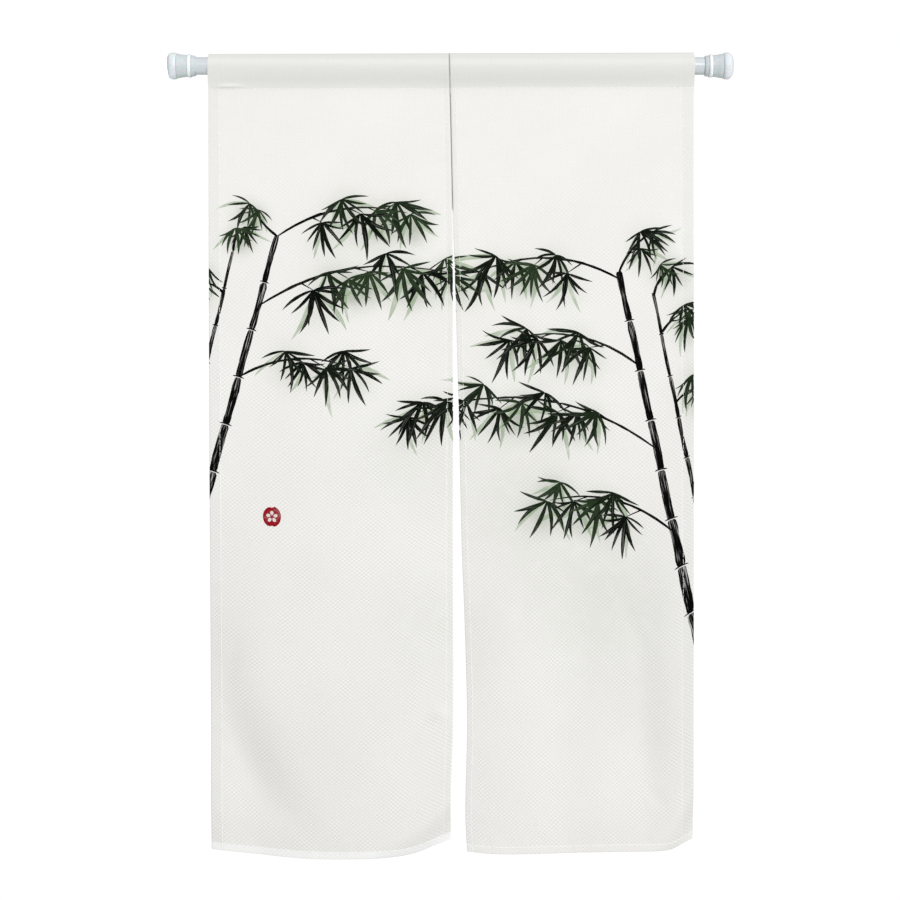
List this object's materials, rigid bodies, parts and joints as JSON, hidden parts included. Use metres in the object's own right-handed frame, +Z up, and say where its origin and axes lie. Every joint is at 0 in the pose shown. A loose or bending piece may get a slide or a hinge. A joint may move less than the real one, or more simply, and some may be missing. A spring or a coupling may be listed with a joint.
{
  "type": "split door curtain on a tension rod",
  "caption": "Split door curtain of two off-white cloth panels with rod pockets, hung on a white tension rod with soft end feet that press between door jambs.",
  "frame": {"origin": "centre of the flat pad on the left foot's end face, on the rod's axis", "axes": "-X points out of the left foot's pad and the rod runs along +X; +Z is up and the cloth hangs down; -Y is the printed front, towards the viewer"},
  "size_m": [1.008, 0.0687, 1.4344],
  "materials": {
    "cloth": "matte plain weave",
    "tube": "white gloss enamel",
    "sleeve": "satin moulded",
    "ring": "glossy",
    "foot": "soft satin"
  },
  "bodies": {
    "root": {"panel_left": "cloth", "panel_right": "cloth", "rod_tube": "tube", "sleeve_left": "sleeve", "sleeve_right": "sleeve", "ring_left": "ring", "ring_right": "ring", "foot_left": "foot", "foot_right": "foot"}
  },
  "joints": []
}
